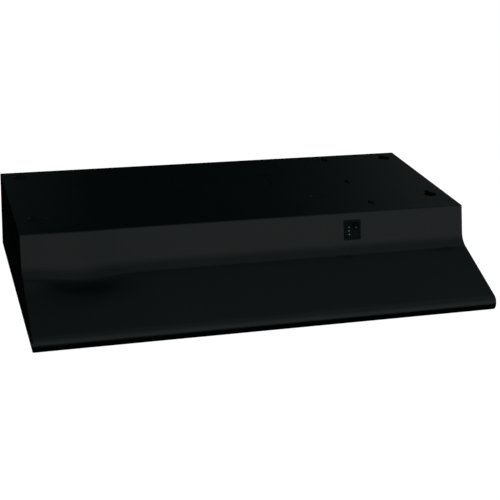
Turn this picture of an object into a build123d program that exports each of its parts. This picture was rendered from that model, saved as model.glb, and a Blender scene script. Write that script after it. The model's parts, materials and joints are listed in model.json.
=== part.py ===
from build123d import *
from math import degrees, hypot, sqrt
import os

os.makedirs("parts", exist_ok=True)

# Under cabinet range hood, in millimetres.
# X runs left to right, the front faces -Y, Z is up.  The origin is on the top face, which
# meets the underside of the cabinet, in the middle of its four keyholes.

# ------------------------------------------------------------------ driving dimensions
# Shell
WIDTH = 759.0  # body for a 30 in wide cabinet opening
DEPTH = 467.0  # back to the nose of the visor
HEIGHT = 133.0
TOP_DEPTH = 312.0  # back to the front edge of the flat top
FACE_HEIGHT = 60.0  # the control face, from the top down to the crease
FACE_SLANT = 15.0  # how far the face leans out over its height
CREASE_RADIUS = 28.0
EDGE_RADIUS = 2.5
LIP_RADIUS = 13.5  # rolled nose of the visor
LIP_RETURN = 26.0  # bottom flange behind the nose
HEM_HEIGHT = 9.0  # upturned edge that stops drips
HEM_RADIUS = 2.5
SHEET = 0.9  # steel thickness
FLANGE = 10.0  # turned-in edges of the side panels
FLANGE_GAP = 1.0  # other panels' flanges stop short of those
LAP_DEPTH = 30.0  # the front panel's flange on top of the hood
LAP_UNDER = 12.0  # how far the top panel reaches under that flange
LAP_REAR = 4.0  # rear edge of that reach, behind the seam
SEAM_GAP = 0.4
REAR_TOP_FLANGE = 12.0
REAR_BOTTOM_FLANGE = 7.5

# Keyholes that hang the hood on four screws
KEYHOLE_SPAN_X = 698.0
KEYHOLE_SPAN_Y = 216.0
KEYHOLE_SETBACK = 30.0  # rear pair, from the back of the hood
KEYHOLE_DIAMETER = 23.0
KEYHOLE_SLOT_WIDTH = 9.0
KEYHOLE_SLOT_LENGTH = 20.0
KEYHOLE_EDGE = 0.35  # eased upper edge

# Knock-outs: outlines cut through in short slots with bridges left between them
SCORE_WIDTH = 0.8
DUCT_LONG = 254.0  # 10 in
DUCT_SHORT = 82.5  # 3 1/4 in
DUCT_SETBACK = 12.0
DUCT_ROUND = 178.0  # 7 in
DUCT_SPANS = 4  # slots along each long side
ROUND_SPANS = 8
ROUND_START = 11.0  # degrees, where the round outline's first slot begins
CABLE_KNOCKOUT = 22.0
CABLE_BRIDGE = 3.0
CABLE_KNOCKOUTS = ((145.0, 222.0), (208.0, 24.0), (-319.0, 250.0))  # x, distance from the back
REAR_DUCT_DROP = 50.0
REAR_CABLE_KNOCKOUT = (186.0, -28.0)  # x, z
BRIDGE = 7.0

# Fan, air path and motor, all on one upright axis
FAN_SETBACK = 116.0
ORIFICE_RADIUS = 88.0
ORIFICE_FLARE = 5.0
COLLAR_HEIGHT = 18.0
ORIFICE_Z = -45.0
HOUSING_HALF = 133.0
HOUSING_REAR = 122.0
HOUSING_FRONT = -92.0
HOUSING_BOTTOM = -118.0
HOUSING_FLANGE = 8.0
HOUSING_REAR_GAP = 2.0  # the housing's flanges stop short of its rear wall
SCREW_HOLE_RADIUS = 2.0
STRAP_HALF_LENGTH = 106.0  # strap that carries the motor across the orifice
STRAP_HALF_WIDTH = 15.0
STRAP_SCREW_LENGTH = 6.0
BLADES = 5
BLADE_TIP = 82.0
BLADE_THICKNESS = 1.2
BLADE_PITCH = 26.0
BLADE_Z = -27.0
BLADE_CORNER = 7.0
HUB_RADIUS = 11.0
HUB_HALF = 13.0
SPIGOT_RADIUS = 6.5  # neck on top of the hub, under the clip
SPIGOT_HEIGHT = 6.0
CLIP_RADIUS = 8.5
SHAFT_DIAMETER = 6.35
RUNNING_CLEARANCE = 0.02  # radial, shaft in bearing
STACK_TOP = -64.0
STACK_HEIGHT = 20.0
STACK_HALF = 32.0
STACK_FRONT = 30.0  # from the axis to the front of the core
WINDOW_HALF = 20.0  # opening between the pole piece and the coil's leg
WINDOW_NEAR = 26.0
ROTOR_RADIUS = 20.0
ROTOR_INSET = 0.5  # rotor stack inside the core's ends
RING_PROUD = 2.0  # end rings beyond the core
RING_STEP = 4.0
AIR_GAP = 0.5
STUD_X = 26.5
STUD_DIAMETER = 4.0
STRAP_THICKNESS = 1.5
SHAFT_TOP = -7.5
SHAFT_BELOW = 4.0  # beyond the bottom bracket
SHAFT_CHAMFER = 0.6
STUD_BELOW = 8.0  # stud beyond the core
STUD_ABOVE = 3.0  # stud above the orifice plate
NUT_ACROSS = 7.0
NUT_HEIGHT = 3.2
SPACER_RADIUS = 4.0
BRACKET_RISE = 12.0
BRACKET_SHEET = 1.4
BRACKET_CROWN = 2.0
BRACKET_HALF_WIDTH = 22.2
BRACKET_HALF_DEPTH = 9.0
FOOT_END = 31.5
FOOT_THICKNESS = 1.5
BEARING_RADIUS = 5.5
BEARING_DEPTH = 8.6  # inside its bracket; leaves the washers 0.4 of end float
BEARING_COLLAR = 1.6
BEARING_LIP = 1.5
WASHER_RADIUS = 6.0
WASHER_THICKNESS = 1.0
SHADING_SLOT = 3.0
SHADING_PLACE = (14.0, 20.0)  # from the axis, point-symmetric
SHADING_PROUD = 1.5
LEG_NEAR = 44.0  # core leg that carries the coil, from the axis
LEG_FAR = 58.0
BOBBIN_WALL = 1.2
BOBBIN_HALF = 17.0
BOBBIN_FLANGE = 1.5
BOBBIN_MARGIN = 1.0  # flange beyond the winding
COIL_BUILD = 11.0
COIL_CORNER = 4.0
STRAP_SCREW_X = 100.0
LEAD_HOLE = (66.0, -91.0)  # y, z of the motor lead through the housing wall
LEAD_HOLE_RADIUS = 6.0

# Filter
FILTER_WIDTH = 267.0
FILTER_DEPTH = 222.0
FILTER_THICKNESS = 9.5
FILTER_BORDER = 11.0
FILTER_REAR = 126.0
FILTER_CORNER = 3.0
FILTER_LIP = 1.2  # frame walls above and below the mesh
GROOVE_DEPTH = 8.0
MESH_SHEET = 0.7
MESH_LAYERS = 3
LATCH_THICKNESS = 0.6
LATCH_HALF_WIDTH = 12.0
TAB_LOOP = (26.0, 20.0)  # pull tab, outer length and width
TAB_EYE = (18.0, 12.0)
TAB_THICKNESS = 1.4
TAB_SETBACK = 14.0
HINGE_SIDE_GAP = 0.7
HINGE_SHEET = 1.2
HINGE_ARM = (20.0, 5.0)  # in front of and behind the pin
HINGE_DROP = 6.5
PIN_DIAMETER = 3.0
PIN_LENGTH = 4.0
PIN_INSET = 1.6  # hinge pin from the filter's top and rear faces
PIN_CLEARANCE = 0.15  # radial

# Switches, in the plane of the slanted face
SWITCH_X = 175.5
SWITCH_DROP = 28.5  # centre below the top, measured down
BEZEL_WIDTH = 29.6
BEZEL_HEIGHT = 34.0
BEZEL_THICKNESS = 1.6
BEZEL_CORNER = 1.5
CUTOUT_WIDTH = 27.2  # opening in the face behind the bezel
CUTOUT_HEIGHT = 29.6
COLLAR_FIT = 0.2  # collar inside the opening, each side
COLLAR_WALL = 0.8
COLLAR_DEPTH = 9.0
ROCKER_WIDTH = 10.6
ROCKER_REACH = 12.6  # pivot to either end of a rocker
ROCKER_PITCH = 12.6  # between the two rockers
ROCKER_GAP = 0.3
ROCKER_TILT = 8.0  # rest tilt of the two-position rocker
PIVOT_DEPTH = 2.0  # rocker pivots behind the face
TRUNNION_DIAMETER = 3.0
TRUNNION_LENGTH = 0.7
BODY_WALL = 0.6
BODY_DEPTH = 17.0
WELL_DEPTH = 9.0
ROCKER_RISE = 3.0  # rocker's front at the pivot
ROCKER_VEE = 0.14  # slope of each half of a rocker's front
ROCKER_SKIRT = 1.5  # depth of the rocker's ends behind the pivot
ROCKER_KEEL = 5.0  # half length and depth of its keel
TERMINAL_ROWS = (-8.0, 0.0, 8.0)
TERMINAL_WIDTH = 6.3  # quarter-inch tabs
TERMINAL_THICKNESS = 0.8
TERMINAL_LENGTH = 8.0

# Lamp and wiring compartments
PARTITION_X = 229.0
PARTITION_TABS = (113.0, -17.0, -130.0)  # y of the tabs that twist through the top
PARTITION_FRONT = -164.0
PARTITION_REAR = 121.0
TAB_HALF = 7.0
TAB_RECESS = 0.4  # tab's end below the top face
TAB_SLOT = (7.0, 13.0)  # half width and half length of its diamond-shaped slot
BULB_Y = -60.0
BULB_Z = -75.0
LAMP_HALF_DEPTH = 66.0
LAMP_RIGHT = 371.0
LAMP_TOP = -36.0
LAMP_BOTTOM = -116.0
LAMP_SHOULDER = -72.0  # where the walls start to lean in
LAMP_LEAN = 34.0
LENS_THICKNESS = 2.0
LENS_HEIGHT = 13.0
LENS_PIN_INSET = 2.0  # hinge pin from the lens's top and rear faces
LENS_PIN_RADIUS = 1.2
LENS_PIN_OUTER = 3.0  # pin outside the lens's end
LENS_PIN_INNER = 7.0
LENS_END_GAP = 6.0
LENS_SIDE_GAP = 1.0
LENS_CORNER = 6.0
LENS_EDGE = 3.0
LENS_BRACKET = (0.7, 2.2)  # bracket's inner and outer faces, from the lens's end
SOCKET_LENGTH = 32.0
SOCKET_RADIUS = 18.0
SOCKET_FLANGE_RADIUS = 21.0
SOCKET_FLANGE = 4.0
SOCKET_FLOOR = 5.0
SOCKET_RIVET_SPREAD = 19.0
SOCKET_RIVET_RADIUS = 0.8
SHELL_THICKNESS = 0.5
CONTACT_THICKNESS = 1.5
CONTACT_HALF = (9.0, 3.0)
SOCKET_BORE = 13.8
BASE_RADIUS = 13.0
BASE_LENGTH = 27.0
BASE_TIP = 3.0
BASE_TIP_RADIUS = 5.0
BASE_WALL = 0.6
GLASS_WALL = 0.8
BULB_RADIUS = 30.0
BULB_LENGTH = 105.0
LEAD_RADIUS = 3.0
LAMP_LEAD_HOLE = 9.0  # radius, through the partition
COVER_Z = -104.0
COVER_REAR = 100.0
COVER_FLANGE = 12.0
COVER_SCREWS_Y = (-120.0, 60.0)
COVER_SCREW_HOLE = 1.9  # radius
GROUND_SCREW = (20.0, -40.0)  # y, z

# ------------------------------------------------------------------ derived positions
REAR_Y = KEYHOLE_SETBACK + KEYHOLE_SPAN_Y / 2
TOP_FRONT_Y = REAR_Y - TOP_DEPTH
CREASE_Y = TOP_FRONT_Y - FACE_SLANT
NOSE_Y = REAR_Y - DEPTH
LAP_Y = TOP_FRONT_Y + LAP_DEPTH
INNER_HALF = WIDTH / 2 - SHEET
FAN_Y = REAR_Y - FAN_SETBACK
STACK_BOTTOM = STACK_TOP - STACK_HEIGHT
STRAP_BOTTOM = ORIFICE_Z - SHEET - STRAP_THICKNESS

# The visor's straight line is tangent to the nose: corner where it would meet the bottom.
visor_drop = HEIGHT - FACE_HEIGHT
visor_run = CREASE_Y - (NOSE_Y + LIP_RADIUS)
half_angle = (sqrt(visor_run**2 + visor_drop * (visor_drop - 2 * LIP_RADIUS)) - visor_run) / visor_drop
VISOR_CORNER_Y = NOSE_Y + LIP_RADIUS - LIP_RADIUS / half_angle
RETURN_Y = NOSE_Y + LIP_RADIUS + LIP_RETURN

# Plane on the outside of the slanted face, centred on the switches, its Y up the face.
face_length = hypot(FACE_SLANT, FACE_HEIGHT)
face_plane = Plane(
    origin=(SWITCH_X, TOP_FRONT_Y - FACE_SLANT * SWITCH_DROP / FACE_HEIGHT, -SWITCH_DROP),
    x_dir=(1, 0, 0),
    z_dir=(0, -FACE_HEIGHT / face_length, FACE_SLANT / face_length),
)


# ------------------------------------------------------------------ helpers
def save(piece, name):
    """Label a finished piece and write it."""
    piece.part.label = name
    export_step(piece.part, f"parts/{name}.step")


def block(x, y, z, mode=Mode.ADD):
    """A box between two limits on each axis."""
    with Locations(((x[0] + x[1]) / 2, (y[0] + y[1]) / 2, (z[0] + z[1]) / 2)):
        Box(abs(x[1] - x[0]), abs(y[1] - y[0]), abs(z[1] - z[0]), mode=mode)


def post(x, y, z, radius, mode=Mode.ADD):
    """An upright cylinder between two heights."""
    with Locations((x, y, (z[0] + z[1]) / 2)):
        Cylinder(radius, abs(z[1] - z[0]), mode=mode)


def rod(x, y, z, radius, mode=Mode.ADD):
    """A cylinder along X between two limits."""
    with Locations(Location(((x[0] + x[1]) / 2, y, z), (0, 90, 0))):
        Cylinder(radius, abs(x[1] - x[0]), mode=mode)


def side_outline(inset):
    """The hood's outline from the side, pulled in by the inset."""
    with BuildLine() as outline:
        skin = FilletPolyline(
            (REAR_Y, 0),
            (TOP_FRONT_Y, 0),
            (CREASE_Y, -FACE_HEIGHT),
            (VISOR_CORNER_Y, -HEIGHT),
            (REAR_Y, -HEIGHT),
            radius=[EDGE_RADIUS, CREASE_RADIUS, LIP_RADIUS],
        )
        Line(skin @ 1, skin @ 0)
    make_face(outline.edges())
    if inset > 0:
        offset(amount=-inset, kind=Kind.INTERSECTION, mode=Mode.REPLACE)


def score_rectangle(long, short, spans):
    """Slots along a rectangle's sides, leaving its corners and middles whole."""
    for sign in (-1, 1):
        for part in range(spans):
            pitch = (long - BRIDGE) / spans
            place = -long / 2 + BRIDGE / 2 + pitch * (part + 0.5)
            with Locations((place, sign * short / 2)):
                Rectangle(pitch - BRIDGE, SCORE_WIDTH)
        with Locations((sign * long / 2, 0)):
            Rectangle(SCORE_WIDTH, short - 2 * BRIDGE)


def score_circle(diameter, spans, start, bridge=BRIDGE):
    """Slots along a circle, with equal bridges between them."""
    gap = degrees(2 * bridge / diameter)
    for part in range(spans):
        with BuildLine(mode=Mode.PRIVATE) as slot:
            CenterArc((0, 0), diameter / 2, start + part * 360 / spans + gap / 2, 360 / spans - gap)
        SlotArc(slot.edges()[0], SCORE_WIDTH)


def keyhole():
    """Round opening for a screw head, with a narrow slot towards the back."""
    Circle(KEYHOLE_DIAMETER / 2)
    with Locations((0, KEYHOLE_SLOT_LENGTH / 2)):
        Rectangle(KEYHOLE_SLOT_WIDTH, KEYHOLE_SLOT_LENGTH)


def cable_knockout():
    """Round cable outline held by two bridges."""
    score_circle(CABLE_KNOCKOUT, 2, 40, CABLE_BRIDGE)


# ------------------------------------------------------------------ shell
lap_half = INNER_HALF - FLANGE - FLANGE_GAP
with BuildPart() as front_panel:
    with BuildSketch(Plane.YZ):
        with BuildLine():
            FilletPolyline(
                (LAP_Y, 0),
                (TOP_FRONT_Y, 0),
                (CREASE_Y, -FACE_HEIGHT),
                (VISOR_CORNER_Y, -HEIGHT),
                (RETURN_Y, -HEIGHT),
                (RETURN_Y, -HEIGHT + HEM_HEIGHT),
                radius=[EDGE_RADIUS, CREASE_RADIUS, LIP_RADIUS, HEM_RADIUS],
            )
            offset(amount=SHEET, side=Side.LEFT)
        make_face()
    extrude(amount=INNER_HALF, both=True)
    # The hem stops short of the side panels' flanges.
    for side in (-1, 1):
        block(
            (side * lap_half, side * WIDTH / 2),
            (RETURN_Y - 2 * HEM_RADIUS, RETURN_Y + HEM_RADIUS),
            (-HEIGHT + SHEET, -HEIGHT + HEM_HEIGHT + 1),
            Mode.SUBTRACT,
        )
    # Opening for the switches
    with BuildSketch(face_plane):
        Rectangle(CUTOUT_WIDTH, CUTOUT_HEIGHT)
    extrude(amount=2 * SHEET, both=True, mode=Mode.SUBTRACT)
save(front_panel, "front_panel")

for side, name in ((-1, "left_side_panel"), (1, "right_side_panel")):
    with BuildPart() as side_panel:
        with BuildSketch(Plane.YZ.offset(side * WIDTH / 2)):
            side_outline(0)
        extrude(amount=-side * SHEET)
        with BuildSketch(Plane.YZ.offset(side * INNER_HALF)):
            side_outline(SHEET)
        extrude(amount=-side * FLANGE)
        with BuildSketch(Plane.YZ.offset(side * INNER_HALF)):
            side_outline(2 * SHEET)
        extrude(amount=-side * FLANGE, mode=Mode.SUBTRACT)
    save(side_panel, name)

with BuildPart() as top_panel:
    block((-INNER_HALF, INNER_HALF), (LAP_Y + SEAM_GAP, REAR_Y), (-SHEET, 0))
    block((-lap_half, lap_half), (LAP_Y - LAP_UNDER, LAP_Y + LAP_REAR), (-2 * SHEET, -SHEET))
    # Four keyholes
    with BuildSketch():
        with GridLocations(KEYHOLE_SPAN_X, KEYHOLE_SPAN_Y, 2, 2):
            keyhole()
    extrude(amount=-SHEET, mode=Mode.SUBTRACT)
    chamfer(top_panel.faces().sort_by(Axis.Z)[-1].inner_wires().edges(), KEYHOLE_EDGE)
    # Duct knock-outs: 10 x 3 1/4 in and 7 in round, overlapping
    with BuildSketch(Plane((0, REAR_Y - DUCT_SETBACK - DUCT_SHORT / 2, 0))):
        score_rectangle(DUCT_LONG, DUCT_SHORT, DUCT_SPANS)
    extrude(amount=-SHEET, mode=Mode.SUBTRACT)
    with BuildSketch(Plane((0, FAN_Y, 0))):
        score_circle(DUCT_ROUND, ROUND_SPANS, ROUND_START)
    extrude(amount=-SHEET, mode=Mode.SUBTRACT)
    # Cable knock-outs
    for x, setback in CABLE_KNOCKOUTS:
        with BuildSketch(Plane((x, REAR_Y - setback, 0))):
            cable_knockout()
        extrude(amount=-SHEET, mode=Mode.SUBTRACT)
    # Slots for the partition's tabs
    for y in PARTITION_TABS:
        with BuildSketch(Plane((PARTITION_X, y, 0))):
            with BuildLine():
                Polyline((-TAB_SLOT[0], 0), (0, -TAB_SLOT[1]), (TAB_SLOT[0], 0), (0, TAB_SLOT[1]), close=True)
            make_face()
        extrude(amount=-SHEET, mode=Mode.SUBTRACT)
save(top_panel, "top_panel")

with BuildPart() as rear_panel:
    block((-INNER_HALF, INNER_HALF), (REAR_Y - SHEET, REAR_Y), (-HEIGHT, -SHEET))
    block(
        (-INNER_HALF, INNER_HALF),
        (REAR_Y - REAR_BOTTOM_FLANGE, REAR_Y - SHEET),
        (-HEIGHT, -HEIGHT + SHEET),
    )
    block(
        (-lap_half, lap_half),
        (REAR_Y - REAR_TOP_FLANGE, REAR_Y - SHEET),
        (-2 * SHEET, -SHEET),
    )
    with BuildSketch(Plane((0, REAR_Y, -REAR_DUCT_DROP), x_dir=(-1, 0, 0), z_dir=(0, 1, 0))):
        score_rectangle(DUCT_LONG, DUCT_SHORT, DUCT_SPANS)
    extrude(amount=-SHEET, mode=Mode.SUBTRACT)
    cable_place = (REAR_CABLE_KNOCKOUT[0], REAR_Y, REAR_CABLE_KNOCKOUT[1])
    with BuildSketch(Plane(cable_place, x_dir=(-1, 0, 0), z_dir=(0, 1, 0))):
        cable_knockout()
    extrude(amount=-SHEET, mode=Mode.SUBTRACT)
save(rear_panel, "rear_panel")


# ------------------------------------------------------------------ air path
housing_flange_x = (-HOUSING_HALF - HOUSING_FLANGE, HOUSING_HALF + HOUSING_FLANGE)
housing_flange_y = (HOUSING_FRONT - HOUSING_FLANGE, HOUSING_REAR - HOUSING_REAR_GAP)
with BuildPart() as fan_housing:
    block((-HOUSING_HALF, HOUSING_HALF), (HOUSING_FRONT, HOUSING_REAR), (HOUSING_BOTTOM, -SHEET))
    # Turned-out flanges: under the hood's top, and around the filter
    block(housing_flange_x, housing_flange_y, (-2 * SHEET, -SHEET))
    block(housing_flange_x, housing_flange_y, (HOUSING_BOTTOM, HOUSING_BOTTOM + SHEET))
    block(
        (-HOUSING_HALF + SHEET, HOUSING_HALF - SHEET),
        (HOUSING_FRONT + SHEET, HOUSING_REAR - SHEET),
        (HOUSING_BOTTOM, -SHEET),
        Mode.SUBTRACT,
    )
    rod((HOUSING_HALF - 2 * SHEET, HOUSING_HALF + SHEET), *LEAD_HOLE, LEAD_HOLE_RADIUS, Mode.SUBTRACT)
save(fan_housing, "fan_housing")

with BuildPart() as orifice_plate:
    plate_half = HOUSING_HALF - SHEET
    plate_y = (HOUSING_FRONT + SHEET, HOUSING_REAR - SHEET)
    block((-plate_half, plate_half), plate_y, (ORIFICE_Z - SHEET, ORIFICE_Z))
    # Turned-up edges against the housing walls
    for side in (-1, 1):
        block(
            (side * plate_half, side * (plate_half - SHEET)),
            plate_y,
            (ORIFICE_Z, ORIFICE_Z + HOUSING_FLANGE),
        )
    post(0, FAN_Y, (ORIFICE_Z - SHEET, ORIFICE_Z), ORIFICE_RADIUS + ORIFICE_FLARE, Mode.SUBTRACT)
    # Flared collar around the fan
    with BuildSketch(Plane((0, FAN_Y, 0), x_dir=(1, 0, 0), z_dir=(0, -1, 0))):
        with BuildLine():
            FilletPolyline(
                (ORIFICE_RADIUS + ORIFICE_FLARE + 0.5, ORIFICE_Z - SHEET),
                (ORIFICE_RADIUS, ORIFICE_Z - SHEET),
                (ORIFICE_RADIUS, ORIFICE_Z + COLLAR_HEIGHT),
                radius=ORIFICE_FLARE,
            )
            offset(amount=SHEET, side=Side.RIGHT)
        make_face()
    revolve(axis=Axis((0, FAN_Y, 0), (0, 0, 1)))
    for side in (-1, 1):
        post(side * STRAP_SCREW_X, FAN_Y, (ORIFICE_Z - SHEET, ORIFICE_Z), SCREW_HOLE_RADIUS, Mode.SUBTRACT)
save(orifice_plate, "orifice_plate")

strap_z = (STRAP_BOTTOM, ORIFICE_Z - SHEET)
with BuildPart() as motor_bracket:
    block(
        (-STRAP_HALF_LENGTH, STRAP_HALF_LENGTH),
        (FAN_Y - STRAP_HALF_WIDTH, FAN_Y + STRAP_HALF_WIDTH),
        strap_z,
    )
    post(0, FAN_Y, strap_z, BRACKET_HALF_DEPTH, Mode.SUBTRACT)
    for side in (-1, 1):
        post(side * STRAP_SCREW_X, FAN_Y, strap_z, SCREW_HOLE_RADIUS, Mode.SUBTRACT)
        post(side * STUD_X, FAN_Y, strap_z, STUD_DIAMETER / 2, Mode.SUBTRACT)
save(motor_bracket, "motor_bracket")

with BuildPart() as bracket_screws:
    with BuildSketch(Plane.XY.offset(STRAP_BOTTOM)):
        with Locations((-STRAP_SCREW_X, FAN_Y), (STRAP_SCREW_X, FAN_Y)):
            RegularPolygon(NUT_ACROSS / sqrt(3), 6)
    extrude(amount=-NUT_HEIGHT)
    for side in (-1, 1):
        shank_z = (STRAP_BOTTOM, STRAP_BOTTOM + STRAP_SCREW_LENGTH)
        post(side * STRAP_SCREW_X, FAN_Y, shank_z, COVER_SCREW_HOLE)
save(bracket_screws, "bracket_screws")

# ------------------------------------------------------------------ motor
stack_z = (STACK_BOTTOM, STACK_TOP)
with BuildPart() as motor_stator:
    block((-STACK_HALF, STACK_HALF), (FAN_Y - STACK_FRONT, FAN_Y + LEG_FAR), stack_z)
    post(0, FAN_Y, stack_z, ROTOR_RADIUS + AIR_GAP, Mode.SUBTRACT)
    block((-WINDOW_HALF, WINDOW_HALF), (FAN_Y + WINDOW_NEAR, FAN_Y + LEG_NEAR), stack_z, Mode.SUBTRACT)
    for side in (-1, 1):
        post(side * STUD_X, FAN_Y, stack_z, STUD_DIAMETER / 2, Mode.SUBTRACT)
        slot_place = (side * SHADING_PLACE[0], FAN_Y + side * SHADING_PLACE[1], STACK_TOP - STACK_HEIGHT / 2)
        with Locations(slot_place):
            Box(SHADING_SLOT, SHADING_SLOT, STACK_HEIGHT, mode=Mode.SUBTRACT)
save(motor_stator, "motor_stator")

with BuildPart() as shading_rings:
    for side in (-1, 1):
        ring_place = (side * SHADING_PLACE[0], FAN_Y + side * SHADING_PLACE[1], STACK_TOP - STACK_HEIGHT / 2)
        with Locations(ring_place):
            Box(SHADING_SLOT, SHADING_SLOT, STACK_HEIGHT + 2 * SHADING_PROUD)
save(shading_rings, "shading_rings")


def grown(limits, amount):
    """Limits on one axis, moved outwards at both ends."""
    return (limits[0] - amount, limits[1] + amount)


leg_y = (FAN_Y + LEG_NEAR, FAN_Y + LEG_FAR)
bobbin_x = (-BOBBIN_HALF, BOBBIN_HALF)
with BuildPart() as coil_bobbin:
    block(bobbin_x, grown(leg_y, BOBBIN_WALL), grown(stack_z, BOBBIN_WALL))
    for side in (-1, 1):
        block(
            (side * BOBBIN_HALF, side * (BOBBIN_HALF + BOBBIN_FLANGE)),
            grown(leg_y, COIL_BUILD + BOBBIN_MARGIN),
            grown(stack_z, COIL_BUILD + BOBBIN_MARGIN),
        )
    block(grown(bobbin_x, 2 * BOBBIN_FLANGE), leg_y, stack_z, Mode.SUBTRACT)
save(coil_bobbin, "coil_bobbin")

with BuildPart() as coil_winding:
    block(bobbin_x, grown(leg_y, COIL_BUILD), grown(stack_z, COIL_BUILD))
    fillet(coil_winding.edges().filter_by(Axis.X), COIL_CORNER)
    block(bobbin_x, grown(leg_y, BOBBIN_WALL), grown(stack_z, BOBBIN_WALL), Mode.SUBTRACT)
save(coil_winding, "coil_winding")


def end_bracket(face_z, direction):
    """Hat-shaped bracket over the rotor; direction +1 stands on top of the stack."""
    crown_z = face_z + direction * BRACKET_RISE
    foot_z = (face_z, face_z + direction * FOOT_THICKNESS)
    depth = (FAN_Y - BRACKET_HALF_DEPTH, FAN_Y + BRACKET_HALF_DEPTH)
    block((-BRACKET_HALF_WIDTH, BRACKET_HALF_WIDTH), depth, (crown_z, crown_z - direction * BRACKET_CROWN))
    for side in (-1, 1):
        inside = side * (BRACKET_HALF_WIDTH - BRACKET_SHEET)
        block((inside, side * BRACKET_HALF_WIDTH), depth, (face_z, crown_z))
        block((inside, side * FOOT_END), depth, foot_z)
        post(side * STUD_X, FAN_Y, foot_z, STUD_DIAMETER / 2, Mode.SUBTRACT)
    bore_z = (crown_z - direction * 2 * BRACKET_CROWN, crown_z + direction)
    post(0, FAN_Y, bore_z, BEARING_RADIUS, Mode.SUBTRACT)


def bearing(crown_z, direction):
    """Plain bronze bush with a collar that rests on its bracket."""
    inner_z = crown_z - direction * BEARING_DEPTH
    outer_z = crown_z + direction * BEARING_COLLAR
    post(0, FAN_Y, (inner_z, crown_z), BEARING_RADIUS)
    post(0, FAN_Y, (crown_z, outer_z), BEARING_RADIUS + BEARING_LIP)
    bore = SHAFT_DIAMETER / 2 + RUNNING_CLEARANCE
    post(0, FAN_Y, (inner_z - direction, outer_z + direction), bore, Mode.SUBTRACT)


for direction, face_z, name in ((1, STACK_TOP, "top"), (-1, STACK_BOTTOM, "bottom")):
    with BuildPart() as motor_end:
        end_bracket(face_z, direction)
    save(motor_end, f"motor_{name}_bracket")
    with BuildPart() as bush:
        bearing(face_z + direction * BRACKET_RISE, direction)
    save(bush, f"{name}_bearing")

with BuildPart() as motor_studs:
    for side in (-1, 1):
        stud_z = (STACK_BOTTOM - STUD_BELOW, ORIFICE_Z + STUD_ABOVE)
        post(side * STUD_X, FAN_Y, stud_z, STUD_DIAMETER / 2)
save(motor_studs, "motor_studs")

with BuildPart() as motor_nuts:
    for z in (ORIFICE_Z - SHEET, STACK_BOTTOM - FOOT_THICKNESS - NUT_HEIGHT):
        with BuildSketch(Plane.XY.offset(z)):
            with Locations((-STUD_X, FAN_Y), (STUD_X, FAN_Y)):
                RegularPolygon(NUT_ACROSS / sqrt(3), 6)
                Circle(STUD_DIAMETER / 2, mode=Mode.SUBTRACT)
        extrude(amount=NUT_HEIGHT)
save(motor_nuts, "motor_nuts")

with BuildPart() as motor_spacers:
    spacer_bottom = STACK_TOP + FOOT_THICKNESS
    with BuildSketch(Plane.XY.offset(spacer_bottom)):
        with Locations((-STUD_X, FAN_Y), (STUD_X, FAN_Y)):
            Circle(SPACER_RADIUS)
            Circle(STUD_DIAMETER / 2, mode=Mode.SUBTRACT)
    extrude(amount=STRAP_BOTTOM - spacer_bottom)
save(motor_spacers, "motor_spacers")

with BuildPart() as rotor:
    ring_z = grown(stack_z, RING_PROUD)
    post(0, FAN_Y, grown(stack_z, -ROTOR_INSET), ROTOR_RADIUS)
    post(0, FAN_Y, ring_z, ROTOR_RADIUS - RING_STEP)
    post(0, FAN_Y, grown(ring_z, 1), SHAFT_DIAMETER / 2, Mode.SUBTRACT)
save(rotor, "rotor")

with BuildPart() as motor_shaft:
    post(0, FAN_Y, (STACK_BOTTOM - BRACKET_RISE - SHAFT_BELOW, SHAFT_TOP), SHAFT_DIAMETER / 2)
    chamfer(motor_shaft.edges().filter_by(GeomType.CIRCLE), SHAFT_CHAMFER)
save(motor_shaft, "motor_shaft")

with BuildPart() as thrust_washers:
    for z in (STACK_TOP + RING_PROUD, STACK_BOTTOM - RING_PROUD - WASHER_THICKNESS):
        with BuildSketch(Plane.XY.offset(z)):
            with Locations((0, FAN_Y)):
                Circle(WASHER_RADIUS)
                Circle(SHAFT_DIAMETER / 2, mode=Mode.SUBTRACT)
        extrude(amount=WASHER_THICKNESS)
save(thrust_washers, "thrust_washers")

hub_top = BLADE_Z + HUB_HALF
with BuildPart() as fan_blade:
    post(0, FAN_Y, (BLADE_Z - HUB_HALF, hub_top), HUB_RADIUS)
    for number in range(BLADES):
        turn = Location((0, FAN_Y, BLADE_Z), (0, 0, number * 360 / BLADES))
        tilt = Location((0, 0, 0), (BLADE_PITCH, 0, 0))
        with BuildSketch(Plane(turn * tilt)) as blade_sketch:
            # Swept outline, wider at the tip, rooted inside the hub
            with BuildLine():
                Polyline(
                    (HUB_RADIUS - 3, -8),
                    (30, -19),
                    (BLADE_TIP - 8, -27),
                    (BLADE_TIP + 1, -6),
                    (BLADE_TIP - 3, 22),
                    (40, 15),
                    (HUB_RADIUS - 3, 7),
                    close=True,
                )
            make_face()
            fillet(blade_sketch.vertices().sort_by(Axis.X)[-3:], BLADE_CORNER)
        extrude(amount=BLADE_THICKNESS)
    post(0, FAN_Y, (hub_top, hub_top + SPIGOT_HEIGHT), SPIGOT_RADIUS)
    post(0, FAN_Y, (BLADE_Z - HUB_HALF - 1, hub_top + SPIGOT_HEIGHT + 1), SHAFT_DIAMETER / 2, Mode.SUBTRACT)
save(fan_blade, "fan_blade")

with BuildPart() as fan_hub_clip:
    clip_z = (hub_top + 0.5, hub_top + SPIGOT_HEIGHT - 1)
    post(0, FAN_Y, clip_z, CLIP_RADIUS)
    post(0, FAN_Y, clip_z, SPIGOT_RADIUS, Mode.SUBTRACT)
save(fan_hub_clip, "fan_hub_clip")


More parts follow.
